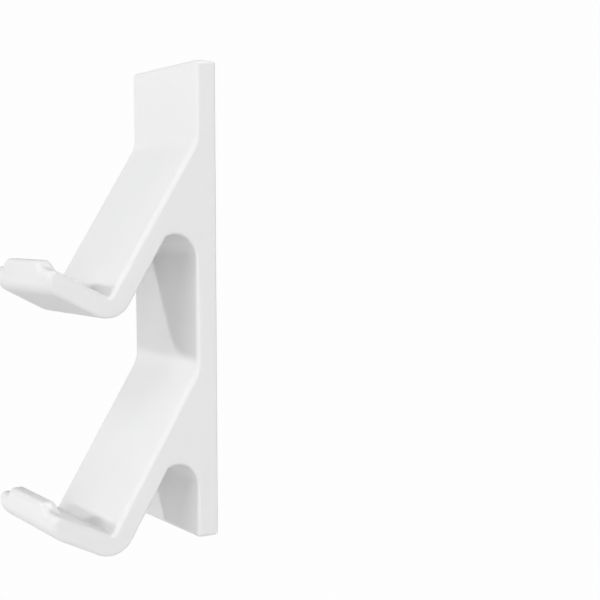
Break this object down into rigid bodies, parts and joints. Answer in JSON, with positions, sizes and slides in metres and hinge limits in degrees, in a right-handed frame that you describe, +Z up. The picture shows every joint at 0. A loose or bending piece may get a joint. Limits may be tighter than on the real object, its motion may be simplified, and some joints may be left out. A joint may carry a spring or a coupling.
{
  "type": "headphone hook",
  "caption": "Wall hook for headphones, one white moulding with a flat back plate and sloping arms that end in lipped trays, held by foam tape pads",
  "frame": {"origin": "on the wall plane, behind the middle of the back plate, which is the wall_seat mount", "axes": "+Y into the wall, -Y out along the hooks, +Z up along the back plate, X across the width"},
  "size_m": [0.044, 0.0611, 0.1603],
  "materials": {
    "white_plastic": "satin white moulded plastic",
    "foam_tape": "grey double-sided acrylic foam tape"
  },
  "bodies": {
    "root": {"hook_body": "white_plastic", "upper_foam_pad": "foam_tape", "lower_foam_pad": "foam_tape"}
  },
  "joints": []
}
